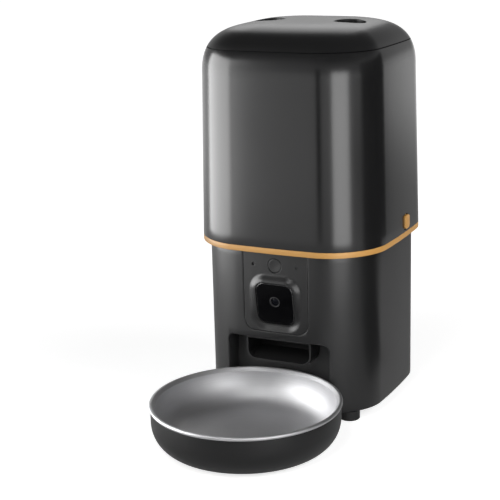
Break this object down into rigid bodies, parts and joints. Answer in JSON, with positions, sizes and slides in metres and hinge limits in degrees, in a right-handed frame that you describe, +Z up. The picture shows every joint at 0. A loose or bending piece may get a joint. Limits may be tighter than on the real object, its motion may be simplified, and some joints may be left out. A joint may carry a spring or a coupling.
{
  "type": "automatic pet feeder with camera",
  "caption": "Free-standing automatic pet feeder: a square-round lift-off food tank on a base with camera, feed button and metering rotor, pouring into a round steel bowl in front.",
  "frame": {"origin": "on the floor, at the centre of the footprint of tower and bowl", "axes": "+Z up, front with camera and bowl towards -Y, +X to the viewer's right of the front"},
  "size_m": [0.1658, 0.2916, 0.3184],
  "materials": {
    "tank_plastic": "satin anthracite moulding",
    "base_plastic": "fine matte anthracite moulding",
    "holder_plastic": "matte black moulding",
    "inner_plastic": "plain grey moulding",
    "accent_plastic": "satin amber moulding",
    "window_plastic": "gloss black",
    "lens_glass": "coated",
    "clear_plastic": "frosted light guide",
    "bowl_steel": "satin spun",
    "bright_steel": "ground",
    "bronze": "sintered",
    "gear_plastic": "natural acetal",
    "case_plastic": "grey moulding",
    "soft_silicone": "matte",
    "foot_rubber": "matte black",
    "board": "solder mask",
    "motor_metal": "zinc plated",
    "speaker_black": "matte"
  },
  "bodies": {
    "base": {"base_shell": "base_plastic", "front_panel": "base_plastic", "camera_window": "window_plastic", "lens_barrel": "holder_plastic", "lens_glass": "lens_glass", "camera_board": "board", "button_board": "board", "status_light": "clear_plastic", "microphone": "motor_metal", "dispenser_deck": "inner_plastic", "outlet_shield": "inner_plastic", "chute": "holder_plastic", "shaft_bushes": "bronze", "gear_tray": "case_plastic", "gear_cover": "case_plastic", "idler_pin": "bright_steel", "motor": "motor_metal", "main_board": "board", "speaker": "speaker_black", "power_socket": "speaker_black", "bottom_plate": "base_plastic", "bottom_screws": "bright_steel", "rubber_feet": "foot_rubber"},
    "tank": {"tank_shell": "tank_plastic", "hopper_funnel": "inner_plastic", "accent_ring": "accent_plastic"},
    "lid": {"lid": "tank_plastic", "lid_liner": "inner_plastic", "lid_seal": "soft_silicone"},
    "release_left": {"release_left": "accent_plastic"},
    "release_right": {"release_right": "accent_plastic"},
    "feed_button": {"feed_button": "base_plastic"},
    "rotor": {"rotor_hub": "accent_plastic", "rotor_vanes": "soft_silicone", "drive_shaft": "bright_steel", "drive_gear": "gear_plastic"},
    "idler": {"idler_gear": "gear_plastic"},
    "motor_rotor": {"motor_shaft": "bright_steel", "motor_pinion": "bronze"},
    "holder": {"bowl_holder": "holder_plastic"},
    "bowl": {"steel_bowl": "bowl_steel"}
  },
  "joints": [
    {"name": "tank_lift", "type": "slide", "parent": "base", "child": "tank", "axis": [0, 0, 1], "range_m": [0, 0.08]},
    {"name": "lid_lift", "type": "slide", "parent": "tank", "child": "lid", "axis": [0, 0, 1], "range_m": [0, 0.06]},
    {"name": "release_right_press", "type": "slide", "parent": "tank", "child": "release_right", "axis": [-1, 0, 0], "range_m": [0, 0.003], "stiffness_N_per_m": 600},
    {"name": "release_left_press", "type": "slide", "parent": "tank", "child": "release_left", "axis": [1, 0, 0], "range_m": [0, 0.003], "stiffness_N_per_m": 600},
    {"name": "feed_button_press", "type": "slide", "parent": "base", "child": "feed_button", "axis": [0, 1, 0], "range_m": [0, 0.0008], "stiffness_N_per_m": 1500},
    {"name": "rotor_spin", "type": "hinge", "parent": "base", "child": "rotor", "pos_m": [0, 0.0743, 0.11], "axis": [0, 0, 1], "continuous": true},
    {"name": "idler_spin", "type": "hinge", "parent": "base", "child": "idler", "pos_m": [-0.01891, 0.08908, 0.08], "axis": [0, 0, 1], "continuous": true},
    {"name": "motor_spin", "type": "hinge", "parent": "base", "child": "motor_rotor", "pos_m": [0.00284, 0.09922, 0.07], "axis": [0, 0, 1], "continuous": true},
    {"name": "holder_slide", "type": "slide", "parent": "base", "child": "holder", "axis": [0, -1, 0], "range_m": [0, 0.09]},
    {"name": "bowl_lift", "type": "slide", "parent": "holder", "child": "bowl", "axis": [0, 0, 1], "range_m": [0, 0.008]}
  ],
  "couplings": [
    {"joint": "idler_spin", "follows": "rotor_spin", "ratio": -3},
    {"joint": "motor_spin", "follows": "rotor_spin", "ratio": 9}
  ]
}
